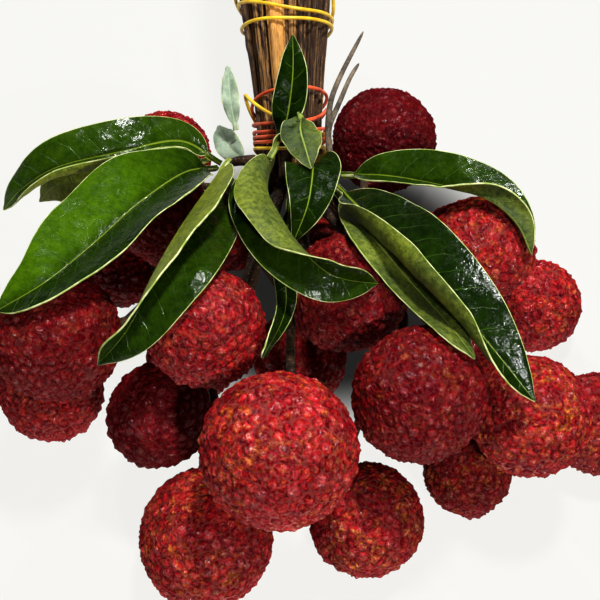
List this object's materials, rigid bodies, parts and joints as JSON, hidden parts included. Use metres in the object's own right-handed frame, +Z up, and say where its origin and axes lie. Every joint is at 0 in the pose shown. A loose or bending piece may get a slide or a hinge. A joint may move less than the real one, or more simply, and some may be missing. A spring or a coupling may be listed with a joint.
{
  "type": "bunch of lychees",
  "caption": "Tied bunch of ripe red lychees with leaves, lying on its fruit, its cut stalks held in a sheaf by thin rubber bands.",
  "frame": {"origin": "on the surface that the bunch lies on, under the middle of its footprint", "axes": "+Z up from the surface, +Y from the fruit along the sheaf of stalks to its cut ends, +X to the right seen from the fruit's side"},
  "size_m": [0.1882, 0.2458, 0.0944],
  "materials": {
    "lychee_skin": "rough, bumpy, slightly glossy skin",
    "leaf": "glossy dark green above, matt light green beneath",
    "bark": "rough dark brown bark",
    "bare_wood": "split bare wood, orange brown",
    "yellow_rubber": "satin",
    "orange_rubber": "satin"
  },
  "bodies": {
    "root": {"fruit_01": "lychee_skin", "fruit_02": "lychee_skin", "fruit_03": "lychee_skin", "fruit_04": "lychee_skin", "fruit_05": "lychee_skin", "fruit_06": "lychee_skin", "fruit_07": "lychee_skin", "fruit_08": "lychee_skin", "fruit_09": "lychee_skin", "fruit_10": "lychee_skin", "fruit_11": "lychee_skin", "fruit_12": "lychee_skin", "fruit_13": "lychee_skin", "fruit_14": "lychee_skin", "fruit_15": "lychee_skin", "fruit_16": "lychee_skin", "fruit_17": "lychee_skin", "fruit_18": "lychee_skin", "fruit_19": "lychee_skin", "fruit_20": "lychee_skin", "fruit_21": "lychee_skin", "fruit_22": "lychee_skin", "fruit_23": "lychee_skin", "fruit_24": "lychee_skin", "stalk_01": "bark", "stalk_02": "bark", "stalk_03": "bark", "stalk_04": "bark", "stalk_05": "bark", "stalk_06": "bark", "stalk_07": "bark", "stalk_08": "bark", "stalk_09": "bark", "stalk_10": "bark", "stalk_11": "bark", "leaf_twig_left": "bark", "leaf_twig_right": "bark", "broken_stalk": "bare_wood", "thin_twigs": "bark", "leaf_01": "leaf", "leaf_02": "leaf", "leaf_03": "leaf", "leaf_04": "leaf", "leaf_05": "leaf", "leaf_06": "leaf", "leaf_07": "leaf", "leaf_08": "leaf", "leaf_09": "leaf", "leaf_10": "leaf", "leaf_11": "leaf", "leaf_12": "leaf", "leaf_13": "leaf", "leaf_14": "leaf", "band_yellow_upper": "yellow_rubber", "band_yellow_lower": "yellow_rubber", "band_orange_loop": "orange_rubber", "band_orange_wraps": "orange_rubber"}
  },
  "joints": []
}
